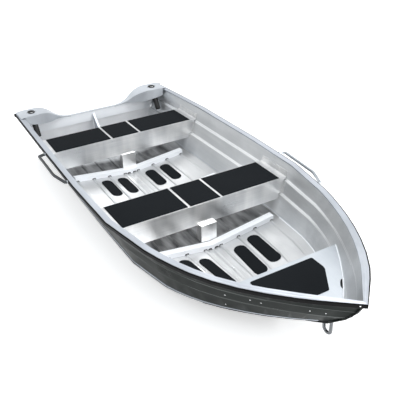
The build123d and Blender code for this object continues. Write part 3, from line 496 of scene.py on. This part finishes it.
# Painted highlight on the ledges: brighter bare metal inside, lighter paint outside.
ledge_highlight_finish = hull_sheet(
    "hull_ledge_highlight", (0.86, 0.87, 0.88), (0.96, 0.965, 0.97), points_outboard, LEDGE_HIGHLIGHT_PAINT,
)
bottom_finish = hull_sheet(
    "hull_bottom", (0.54, 0.55, 0.56), (0.72, 0.725, 0.73), points_down, metal=0.85, ribs=RIBS,
)
transom_finish = hull_sheet(
    "hull_transom", (0.82, 0.83, 0.85), (0.93, 0.94, 0.96), points_aft, metal=0.3,
)
strip_finish = Finish("hull_paint")
brush_on(strip_finish.tree, strip_finish.shader, strip_finish.place, PAINT)
hull_finishes = (side_finish, ledge_highlight_finish, bottom_finish, transom_finish, strip_finish)
print("hull finishes:", [finish.material.name for finish in hull_finishes])

# %% [markdown]
# ## Black pads, rubber and plastic
# The pads are sheets with a fine raised grain against slipping, the strip round the rim is smooth rubber,
# and the rod holders are moulded plastic. All three are black, so gloss and grain tell them apart.

# %% Mix the black finishes
PAD_SHADES = ((0.006, 0.0075, 0.0095), (0.016, 0.0185, 0.021))
PAD_CELLS = 420
PAD_BUMP = (0.0006, 0.5)
DUST_SCALE = 160
DUST_STOPS = ((0.7, 0), (0.76, 1))
RUBBER_SHADES = ((0.001, 0.001, 0.0012), (0.004, 0.004, 0.0045))
PLASTIC_SHADES = ((0.001, 0.001, 0.0015), (0.005, 0.005, 0.006))

pad_finish = Finish("non_slip_pad", Specular_IOR_Level=0.06)
pad_place = pad_finish.place
pad_grain = pad_place.node("ShaderNodeTexVoronoi", {}, {"Vector": pad_place, "Scale": PAD_CELLS})
pad_clouds = pad_place.noise(7, 4)
pad_dust = pad_place.noise(DUST_SCALE, 2).ramp(*DUST_STOPS)
pad_finish.set(
    Base_Color=(pad_clouds * 0.5 + pad_dust * 0.5).between(*PAD_SHADES),
    Roughness=pad_clouds * 0.15 + 0.66,
    Normal=pad_grain.bump(*PAD_BUMP),
)
rubber_finish = Finish("rub_rubber", Specular_IOR_Level=0.12)
rubber_finish.set(
    Base_Color=rubber_finish.place.noise(11, 4).between(*RUBBER_SHADES),
    Roughness=rubber_finish.place.noise(30, 4) * 0.2 + 0.4,
)
plastic_finish = Finish("black_plastic", Specular_IOR_Level=0.4)
plastic_finish.set(
    Base_Color=plastic_finish.place.noise(40).between(*PLASTIC_SHADES),
    Roughness=plastic_finish.place.noise(60, 4) * 0.2 + 0.22,
)
print("black finishes:", [f.material.name for f in (pad_finish, rubber_finish, plastic_finish)])

# %% [markdown]
# ## Steel
# The bow eye and the rod holders' screws are dull steel. The bolts, the pins and the hull's rivets are
# bright. One function makes both, with faint clouds in the colour and in the gloss.

# %% Mix the steel


def steel(name, low, high):
    """Polished steel, with faint clouds in its colour and gloss."""
    finish = Finish(name, Metallic=1.0)
    finish.set(
        Base_Color=finish.place.noise(30, 4).between(low, high),
        Roughness=finish.place.noise(80, 4) * 0.12 + 0.12,
    )
    return finish


steel_finish = steel("stainless_steel", (0.08, 0.085, 0.09), (0.24, 0.25, 0.26))
steel_bright = steel("bright_steel", (0.68, 0.69, 0.7), (0.85, 0.86, 0.87))
print("steel finishes:", steel_finish.material.name, steel_bright.material.name)

# %% [markdown]
# ## Copies to work on
# The frame's pieces may not be changed, so each is copied, and the copy will take its place. A piece of the
# frame is loose triangles: in the copy they are merged, and neighbours that lie flat are dissolved into
# whole faces, which a bevel can then follow.

# %% Copy a piece of the frame
MERGE_DISTANCE = 0.00002
FLAT_ANGLE = radians(0.2)


def named(*words):
    """Frame pieces whose names start or end with one of the words."""
    return [n for n in sorted(nodes) if any(n.startswith(w) or n.endswith(w) for w in words)]


def pick_alone(piece):
    """Select one piece and nothing else."""
    bpy.ops.object.select_all(action="DESELECT")
    piece.select_set(True)
    bpy.context.view_layer.objects.active = piece


def finish_piece(piece, name, slot, *finishes):
    """Name a new piece, give it its finishes and let it ride on the boat."""
    piece.name = name
    piece.data.name = name
    piece.data.materials.clear()
    for finish in finishes:
        piece.data.materials.append(finish.material)
    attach(piece, "root")
    return piece


def merged_copy(node_name):
    """Copy of a frame piece whose triangles are joined into whole faces."""
    pick_alone(nodes[node_name])
    bpy.ops.object.duplicate()
    piece = bpy.context.object
    del piece["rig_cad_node"]
    bpy.ops.object.mode_set(mode="EDIT")
    bpy.ops.mesh.select_all(action="SELECT")
    bpy.ops.mesh.remove_doubles(threshold=MERGE_DISTANCE)
    bpy.ops.mesh.dissolve_limited(angle_limit=FLAT_ANGLE)
    bpy.ops.object.mode_set(mode="OBJECT")
    return piece


print("pieces of the hull:", named("side_", "bottom_"))

# %% [markdown]
# ## Pressed ledges
# Two ledges are pressed along each side. Their edges are the lengthwise ones with a bend: anywhere if it is
# sharp, and towards the bow, where the ledges fade out, only beside a face that is as narrow as a ledge.
# They get a bevel weight by the narrower face's width, so that the bevel never eats the whole ledge.

# %% Find the ledges
LEDGE_BENDS = (radians(1.65), radians(12), radians(75))
LEDGE_HEADING = 0.4
LEDGE_LIMIT = 0.01
LEDGE_WIDTH = 0.006
LEDGE_SHARE = 0.45


def mark_ledges(piece):
    """Weigh the edges of the pressed ledges for the bevel, by the width of the ledge beside them."""
    slight, sharp, folded = LEDGE_BENDS
    mesh = bmesh.new()
    mesh.from_mesh(piece.data)
    weight = mesh.edges.layers.float.new("bevel_weight_edge")
    marked = 0
    for edge in mesh.edges:
        run = edge.verts[1].co - edge.verts[0].co
        lengthwise = abs(run.x) > LEDGE_HEADING * run.length
        widths = sorted(face.calc_area() / run.length for face in edge.link_faces)
        bend = edge.calc_face_angle(0)
        shallow_ledge = slight < bend <= sharp and widths[0] < LEDGE_LIMIT < widths[-1]
        if lengthwise and (sharp < bend < folded or shallow_ledge):
            edge[weight] = min(1.0, LEDGE_SHARE * widths[0] / LEDGE_WIDTH)
            marked += 1
    mesh.to_mesh(piece.data)
    mesh.free()
    print(piece.name, "ledge edges:", marked)


print("a ledge's edge bends by", [round(degrees(bend), 2) for bend in LEDGE_BENDS], "degrees")

# %% [markdown]
# ## Rounded edges
# No folded sheet has a razor edge. A Bevel modifier rounds the sharp edges by a share of the sheet's
# thickness, and smooth shading by angle lets the curved hull plates run without facets. Weighted normals
# keep the flats between rounded edges flat. On the sides the bevel follows the ledges instead, and its
# faces take a second finish, the ledges' painted highlight.

# %% Round a piece
EDGE_ANGLE = radians(32)
RIDGE_ANGLE = radians(9)


def apply_modifier(piece, kind, **settings):
    """Add a modifier with its settings and apply it."""
    modifier = piece.modifiers.new(kind.lower(), kind)
    for name, value in settings.items():
        setattr(modifier, name, value)
    bpy.ops.object.modifier_apply(modifier=modifier.name)


def bevel(piece, width, **settings):
    """Round edges in two steps."""
    apply_modifier(piece, "BEVEL", width=width, segments=2, use_clamp_overlap=False, **settings)


def rounded(node_name, slot, width, *finishes):
    """Copy of a frame piece with rounded edges, which stands for it."""
    bottom = node_name in named("bottom_")
    piece = merged_copy(node_name)
    finish_piece(piece, node_name + "_rounded", slot, *finishes)
    if len(finishes) > 1:
        mark_ledges(piece)
        # The ledge bevel's faces take the second finish, a painted highlight.
        bevel(piece, LEDGE_WIDTH, limit_method="WEIGHT", material=1)
    elif width:
        bevel(piece, width, limit_method="ANGLE", angle_limit=EDGE_ANGLE)
    bpy.ops.object.shade_smooth_by_angle(angle=RIDGE_ANGLE if bottom else EDGE_ANGLE)
    if width or bottom:
        apply_modifier(piece, "WEIGHTED_NORMAL", keep_sharp=True)
    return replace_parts(piece, node_name)


print("rounded: edges that bend by more than", round(degrees(EDGE_ANGLE)), "degrees")

# %% [markdown]
# ## Dressing
# One table says what each piece of the frame is made of and how far its edges are rounded, so a finish can
# be tried on another piece by moving one word. The rods of the bow eye and the handles are then swollen by
# a few millimetres, to the thickness that the photograph shows.

# %% Dress the frame's pieces
ROD_GROWTH = 0.0032
DRESSING = [
    # pieces, slot, rounding, finishes
    (named("side_"), "hull_paint", 0, side_finish, ledge_highlight_finish),
    (named("bottom_"), "hull_paint", 0, bottom_finish),
    (["transom"], "hull_paint", 0.0006, transom_finish),
    (["keel_strip", "stem_bar"] + named("runner_"), "hull_paint", 0.0015, strip_finish),
    (named("gunwale_"), "gunwale_aluminium", 0.0006, bright_rail),
    (["handle_port_forward"], "gunwale_aluminium", 0, handle_rod),
    (["handle_starboard_aft"], "gunwale_aluminium", 0, shaded_rod),
    (["transom_knee", "bow_deck"], "bare_aluminium", 0.0007, bare_sheet),
    (["transom_cap"], "bare_aluminium", 0.0007, cap_sheet),
    (["motor_plate"], "bare_aluminium", 0.0007, plate_sheet),
    (["motor_board"], "bare_aluminium", 0.0015, board_sheet),
    (named("_thwart", "_post"), "bare_aluminium", 0.0007, cross_sheet),
    *(([rib], "bare_aluminium", 0.0007, rib_finish) for rib, rib_finish in rib_finishes.items()),
    (named("_pads", "floor_pads", "bow_deck_pad"), "non_slip_pad", 0.0008, pad_finish),
    (named("rub_strip_"), "rub_rubber", 0.001, rubber_finish),
    (named("rod_holder_"), "black_plastic", 0.001, plastic_finish),
    (["bow_eye"], "stainless_steel", 0, steel_finish),
]

dressed = {}
for node_names, slot, width, *finishes in DRESSING:
    for node_name in node_names:
        dressed[node_name] = rounded(node_name, slot, width, *finishes)
    print(finishes[0].material.name, "on", node_names)
for rod in ("bow_eye", *named("handle_")):
    pick_alone(dressed[rod])
    apply_modifier(dressed[rod], "DISPLACE", strength=ROD_GROWTH, mid_level=0.0)
print("pieces left bare:", sorted(set(nodes) - set(dressed)))

# %% [markdown]
# ## Finding the surface
# Small fittings have to sit on the sheet that carries them, whatever its curve. A tree of the frame's
# triangles answers where a straight line first meets a piece, and which way the sheet faces there.

# %% Feel for a surface
OUTBOARD = {"port": Vector((0, 1, 0)), "starboard": Vector((0, -1, 0))}
DOWN = Vector((0, 0, -1))
AFT = Vector((-1, 0, 0))
FAR = 3.0
surfaces = {}


def surface(node_name):
    """Search tree of a frame piece's triangles."""
    if node_name not in surfaces:
        mesh = nodes[node_name].data
        corners = [vertex.co for vertex in mesh.vertices]
        surfaces[node_name] = BVHTree.FromPolygons(corners, [face.vertices for face in mesh.polygons])
    return surfaces[node_name]


def touch(node_name, start, direction):
    """Place and facing where a straight line first meets a piece, or nothing."""
    place, facing, _, _ = surface(node_name).ray_cast(start, direction)
    if place is None:
        return None
    return place, -facing if facing.dot(direction) > 0 else facing


def touch_side(node_name, side, x, z):
    """The same, for a level line from outside towards one side of the boat."""
    return touch(node_name, Vector((x, 0, z)) + OUTBOARD[side] * FAR, -OUTBOARD[side])


def spread(low, high, count):
    """Evenly spaced values from low to high."""
    return [low + (high - low) * i / (count - 1) for i in range(count)]


print("the port side amidships is at y =", round(touch_side("side_port", "port", 0, 0.3)[0].y, 3))

# %% [markdown]
# ## Copies of one fitting
# Rivets, bolts and puddles of weld are all round about an axis, so one helper turns them as a lathe would:
# a disc is extruded ring by ring. A second helper sets out copies, each turned to face away from its sheet,
# and joins them.

# %% Turn a pattern and set out copies


def turned(profile, sides):
    """Closed shape through rings of (radius, height), from its foot to its top."""
    radius, height = profile[0]
    bpy.ops.object.select_all(action="DESELECT")
    bpy.ops.mesh.primitive_circle_add(
        vertices=sides, radius=radius, fill_type="NGON", location=(0, 0, height),
    )
    bpy.ops.object.transform_apply(location=True)
    bpy.ops.object.mode_set(mode="EDIT")
    bpy.ops.mesh.select_all(action="SELECT")
    for next_radius, next_height in profile[1:]:
        bpy.ops.mesh.extrude_region_move(TRANSFORM_OT_translate={"value": (0, 0, next_height - height)})
        growth = next_radius / radius
        bpy.ops.transform.resize(value=(growth, growth, 1), center_override=(0, 0, next_height))
        radius, height = next_radius, next_height
    bpy.ops.mesh.select_all(action="SELECT")
    bpy.ops.mesh.normals_make_consistent(inside=False)
    bpy.ops.object.mode_set(mode="OBJECT")
    return bpy.context.object


def set_out(pattern, spots, name, slot, finish):
    """Copies of a pattern that points up, one on each (place, facing), joined; the pattern is removed."""
    copies = []
    for place, facing in [spot for spot in spots if spot]:
        pick_alone(pattern)
        bpy.ops.object.duplicate()
        copy = bpy.context.object
        copy.location = place
        copy.rotation_euler = facing.to_track_quat("Z", "Y").to_euler()
        copies.append(copy)
    bpy.data.objects.remove(pattern)
    pick_alone(copies[0])
    for copy in copies:
        copy.select_set(True)
    bpy.ops.object.join()
    bpy.ops.object.transform_apply(location=True, rotation=True, scale=True)
    bpy.ops.object.shade_smooth_by_angle(angle=EDGE_ANGLE)
    print(name, "copies:", len(copies))
    return finish_piece(bpy.context.object, name, slot, finish)


print("smooth on a fitting: bends up to", round(degrees(EDGE_ANGLE)), "degrees")

# %% [markdown]
# ## Rivets in the hull
# Rivets hold the bow deck and the rubber strip. On the bows they are few and unevenly spaced, so they are
# placed one by one, as (x, z). Under the strip they make a row, so the strip's lower edge is felt for first,
# height by height. One screw holds the strip's tip at the stem.

# %% Set the hull's rivets
RIVET_HEAD = [(0.0042, -0.0004), (0.004, 0.0008), (0.0028, 0.0017), (0.0012, 0.002)]
RIVET_SIDES = 10
BOW_RIVETS = [
    (1.157, 0.218), (1.202, 0.329), (1.336, 0.356), (1.386, 0.355), (1.595, 0.384), (1.651, 0.382),
]
STEM_SCREW = (1.815, 0.522)
STRIP_SPAN = (-1.78, 1.7)
STRIP_RIVETS = 30
STRIP_LEVELS = spread(0.4, 0.54, 71)
STRIP_DROP = 0.009


def under_strip(side, x):
    """Spot on the outermost sheet just below the rubber strip."""
    levels = [z for z in STRIP_LEVELS if touch_side(f"rub_strip_{side}", side, x, z)]
    if not levels:
        return None
    level = min(levels) - STRIP_DROP
    sheets = [touch_side(f"{part}_{side}", side, x, level) for part in ("side", "gunwale")]
    return max([s for s in sheets if s], key=lambda s: s[0].dot(OUTBOARD[side]))


hull_rivets = []
for side in OUTBOARD:
    hull_rivets += [touch_side(f"side_{side}", side, x, z) for x, z in BOW_RIVETS]
    hull_rivets += [under_strip(side, x) for x in spread(*STRIP_SPAN, STRIP_RIVETS)]
    hull_rivets.append(touch_side(f"rub_strip_{side}", side, *STEM_SCREW))
set_out(turned(RIVET_HEAD, RIVET_SIDES), hull_rivets, "hull_rivets", "stainless_steel", steel_bright)

# %% [markdown]
# ## Rivets in the seats
# Each end of a seat has a row of rivets through its flange, and two more one above the other where the front
# apron meets the side. A line from the centreline outwards finds the flange.

# %% Set the seats' rivets
SEAT_MARGINS = (0.03, 0.06)
SEAT_RIVETS = 5
FLANGE_DROP = 0.014
APRON_DROPS = (0.1, 0.135)
APRON_INSET = 0.011

seat_rivets = []
for outboard in OUTBOARD.values():
    for seat in RIB_OF_SEAT:
        low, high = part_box(seat)
        for x in spread(low.x + SEAT_MARGINS[0], high.x - SEAT_MARGINS[1], SEAT_RIVETS):
            seat_rivets.append(touch(seat, Vector((x, 0, high.z - FLANGE_DROP)), outboard))
        for drop in APRON_DROPS:
            seat_rivets.append(touch(seat, Vector((high.x - APRON_INSET, 0, high.z - drop)), outboard))
set_out(turned(RIVET_HEAD, RIVET_SIDES), seat_rivets, "seat_rivets", "bare_aluminium", cross_sheet)

# %% [markdown]
# ## Welds
# The deck is welded to the sides, the bottom to the sides along the chine, and the knee to its board. A
# hand-laid weld is a row of overlapping puddles, a little closer together than their own width.

# %% Lay the welds
PUDDLE = [(0.0022, -0.0022), (0.0042, -0.0004), (0.0034, 0.0018), (0.0014, 0.0028)]
PUDDLE_SIDES = 8
PUDDLE_PITCH = 0.0058
PUDDLE_LIFT = 0.001
SEAM_END = 0.01
DECK_TIP = 0.03
DECK_RISE = 0.002
CORNER_LEVELS = spread(0.03, 0.33, 200)
RIDGE_START = 0.005


def along_seam(low, high):
    """Places of the puddles along a seam."""
    return spread(low, high, int((high - low) / PUDDLE_PITCH))


def inside_chine(side, x):
    """Inside corner of bottom and side: the lowest level where a line outboard meets the side first."""
    outboard = OUTBOARD[side]
    for z in CORNER_LEVELS:
        wall = touch(f"side_{side}", Vector((x, 0, z)), outboard)
        ridge = touch(f"bottom_{side}", Vector((x, 0, z)) + outboard * RIDGE_START, outboard)
        if wall and (ridge is None or wall[0].dot(outboard) < ridge[0].dot(outboard)):
            return wall[0], (wall[1] - DOWN).normalized()
    return None


deck_low, deck_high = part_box("bow_deck")
knee_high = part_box("transom_knee")[1]
board_low, board_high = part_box("motor_board")
bay_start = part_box("middle_rib")[1].x
seams = []
for side, outboard in OUTBOARD.items():
    for x in along_seam(deck_low.x + SEAM_END, deck_high.x - DECK_TIP):
        spot = touch(f"side_{side}", Vector((x, 0, deck_high.z + DECK_RISE)), outboard)
        if spot:
            seams.append((spot[0] + spot[1] * PUDDLE_LIFT, (spot[1] - DOWN).normalized()))
    seams += [inside_chine(side, x) for x in along_seam(bay_start + SEAM_END, deck_low.x - SEAM_END)]
    for z in along_seam(board_low.z, knee_high.z - SEAM_END):
        corner = Vector((board_high.x, outboard.y * knee_high.y, z))
        seams.append((corner, (outboard - AFT).normalized()))
set_out(turned(PUDDLE, PUDDLE_SIDES), seams, "welds", "bare_aluminium", board_sheet)

# %% [markdown]
# ## Chine edge
# Outside, a bright bead just above the folded edge of bottom and side stands for the highlight along the
# chine, a painted highlight. The edge is felt for section by section: a level line from outside first meets
# the side there. A thin round bar, a curve with a bevel made into a mesh, follows it.

# %% Run a bead along the chine
CHINE_RADIUS = 0.0032
CHINE_RISE = 0.011
CHINE_LEVELS = (0.0, 0.4)
CHINE_STEPS = 12
CHINE_SPAN = (-1.825, 1.56)
CHINE_POINTS = 120


def outside_chine(side, x):
    """Place just above a side's lower edge, found by halving the gap between a miss and a hit."""
    miss, hit = CHINE_LEVELS
    for step in range(CHINE_STEPS):
        middle = (miss + hit) / 2
        if touch_side(f"side_{side}", side, x, middle):
            hit = middle
        else:
            miss = middle
    spot = touch_side(f"side_{side}", side, x, hit + CHINE_RISE)
    return spot[0] if spot else None


def bead(name, points, radius, slot, finish):
    """Thin round bar through a row of points."""
    line = bpy.data.curves.new(name, "CURVE")
    line.dimensions = "3D"
    line.bevel_depth = radius
    line.bevel_resolution = 1
    line.use_fill_caps = True
    path = line.splines.new("POLY")
    path.points.add(len(points) - 1)
    for point, place in zip(path.points, points):
        point.co = (*place, 1)
    piece = bpy.data.objects.new(name, line)
    bpy.context.collection.objects.link(piece)
    pick_alone(piece)
    bpy.ops.object.convert(target="MESH")
    bpy.ops.object.shade_smooth_by_angle(angle=EDGE_ANGLE)
    return finish_piece(bpy.context.object, name, slot, finish)


for side in OUTBOARD:
    edge = [outside_chine(side, x) for x in spread(*CHINE_SPAN, CHINE_POINTS)]
    edge = [place for place in edge if place]
    # A bright bar as painted highlight along the chine.
    chine = bead(f"chine_highlight_bead_{side}", edge, CHINE_RADIUS, "hull_paint", bright_rail)
    print(chine.name, "faces:", len(chine.data.polygons))

# %% [markdown]
# ## Bolts
# Bolts clamp the motor plate through the transom, and two more stand on the keel line ahead of the ribs. A
# bolt is a washer with a six-sided head on it.

# %% Fit the bolts
WASHER = [(0.0105, -0.0004), (0.0105, 0.0012), (0.0098, 0.0016)]
WASHER_SIDES = 16
HEX_HEAD = [(0.0072, 0.001), (0.0072, 0.0054), (0.0062, 0.0062)]
BOLT_ACROSS = (-0.17, -0.07, 0.07, 0.17)
BOLT_LEVELS = (0.245, 0.295)
KEEL_BOLTS = (-0.776, 0.654)
KEEL_CLEAR = 0.003


def bolt():
    """A washer and a hexagonal head, joined."""
    head = turned(HEX_HEAD, 6)
    turned(WASHER, WASHER_SIDES)
    head.select_set(True)
    bpy.ops.object.join()
    return bpy.context.object


bolts = []
for y in BOLT_ACROSS:
    for z in BOLT_LEVELS:
        bolts.append(touch("motor_plate", Vector((-FAR, y, z)), -AFT))
for x in KEEL_BOLTS:
    bolts.append(touch("bottom_port", Vector((x, KEEL_CLEAR, FAR)), DOWN))
set_out(bolt(), bolts, "bolts", "stainless_steel", steel_bright)

# %% [markdown]
# ## Rod holder fittings
# A pin across each tube stops a rod from twisting, and two screws beside each mouth hold the moulding to the
# quarter plate. The mouth's centre is the middle of the topmost ring of points.

# %% Fit the pins and the screws
TUBE_LEAN = radians(34)
TUBE_AXIS = Vector((-sin(TUBE_LEAN), 0, cos(TUBE_LEAN)))
PIN = [(0.0016, -0.0225), (0.0024, -0.0217), (0.0024, 0.0217), (0.0016, 0.0225)]
PIN_SIDES = 12
PIN_DEPTH = 0.008
MOUTH_RING = 0.0005
SCREW_REACH = 0.041

pins = []
screws = []
for side, outboard in OUTBOARD.items():
    places = [vertex.co for vertex in nodes[f"rod_holder_{side}"].data.vertices]
    top = max(place.z for place in places)
    ring = [place for place in places if place.z > top - MOUTH_RING]
    mouth = sum(ring, Vector()) / len(ring)
    pins.append((mouth - TUBE_AXIS * PIN_DEPTH, outboard))
    for y in (-SCREW_REACH, SCREW_REACH):
        screws.append(touch("transom_cap", Vector((mouth.x, mouth.y + y, FAR)), DOWN))
set_out(turned(PIN, PIN_SIDES), pins, "rod_pins", "stainless_steel", steel_bright)
set_out(turned(RIVET_HEAD, RIVET_SIDES), screws, "rod_screws", "stainless_steel", steel_finish)

# %% [markdown]
# ## Strip ends
# Moulded caps close the rubber strip at the stern. A cap is turned like a rivet and then squeezed, because
# the strip is taller than it is thick, and it laps over the strip's end.

# %% Cap the strips
STRIP_CAP = [(0.0165, 0.0), (0.0175, 0.003), (0.0175, 0.012), (0.0145, 0.0165), (0.008, 0.018)]
CAP_SIDES = 16
CAP_SQUEEZE = 0.6
CAP_LAP = 0.008
END_RING = 0.001

caps = []
for side in OUTBOARD:
    places = [vertex.co for vertex in nodes[f"rub_strip_{side}"].data.vertices]
    stern = min(place.x for place in places)
    ring = [place for place in places if place.x < stern + END_RING]
    caps.append((sum(ring, Vector()) / len(ring) - AFT * CAP_LAP, AFT))
cap = turned(STRIP_CAP, CAP_SIDES)
bpy.ops.object.mode_set(mode="EDIT")
bpy.ops.mesh.select_all(action="SELECT")
bpy.ops.transform.resize(value=(CAP_SQUEEZE, 1, 1), center_override=(0, 0, 0))
bpy.ops.object.mode_set(mode="OBJECT")
set_out(cap, caps, "strip_caps", "rub_rubber", rubber_finish)

# %% [markdown]
# ## Handle feet and bung
# A collar stands round each foot of the carrying handles, and a bung closes the drain low on the transom.
# Both are turned too, and are set on the strip and on the transom by feel.

# %% Fit the collars and the bung
COLLAR = [(0.0125, -0.001), (0.0125, 0.0035), (0.0105, 0.006)]
COLLAR_SIDES = 16
HANDLE_SIDES = {"handle_port_forward": "port", "handle_starboard_aft": "starboard"}
BUNG = [
    (0.022, -0.0004), (0.022, 0.002), (0.0185, 0.003), (0.0115, 0.003), (0.0115, 0.0052), (0.0095, 0.006),
]
BUNG_SIDES = 16
BUNG_START = Vector((-FAR, 0.1, 0.055))

collars = []
for handle, side in HANDLE_SIDES.items():
    low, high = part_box(handle)
    rod_radius = (high.z - low.z) / 2
    for x in (low.x + rod_radius, high.x - rod_radius):
        collars.append(touch_side(f"rub_strip_{side}", side, x, (low.z + high.z) / 2))
set_out(turned(COLLAR, COLLAR_SIDES), collars, "handle_collars", "gunwale_aluminium", handle_rod)
drain = touch("transom", BUNG_START, -AFT)
set_out(turned(BUNG, BUNG_SIDES), [drain], "bung", "black_plastic", plastic_finish)
